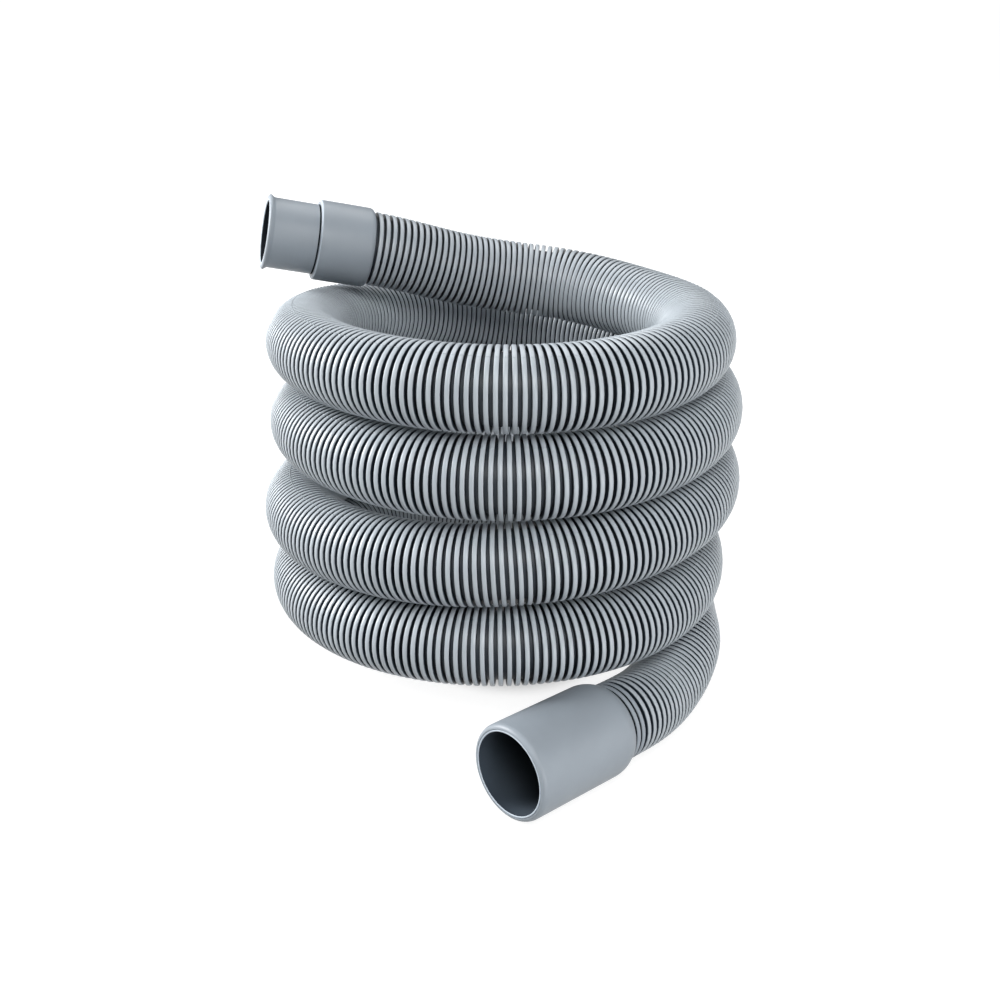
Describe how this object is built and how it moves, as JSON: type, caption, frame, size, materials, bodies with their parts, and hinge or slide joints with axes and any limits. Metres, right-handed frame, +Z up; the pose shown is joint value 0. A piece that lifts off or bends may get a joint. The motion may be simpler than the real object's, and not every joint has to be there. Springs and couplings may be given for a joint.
{
  "type": "washing machine drain hose",
  "caption": "Coiled corrugated drain hose with a stepped push-on cuff for the appliance outlet and a wide plain cuff for the waste pipe.",
  "frame": {"origin": "on the floor, under the middle of the part's box", "axes": "+Z up, the coil standing about Z with a lean of some degrees; the wide drain cuff lies along X at the front with its mouth towards -X; the stepped cuff is at the top of the back, its mouth towards -X and +Y"},
  "size_m": [0.1796, 0.2058, 0.1493],
  "materials": {
    "hose_plastic": "satin grey ribbed plastic",
    "cuff_plastic": "satin grey moulded plastic"
  },
  "bodies": {
    "root": {"corrugated_hose": "hose_plastic", "drain_cuff": "cuff_plastic", "appliance_cuff": "cuff_plastic"}
  },
  "joints": []
}
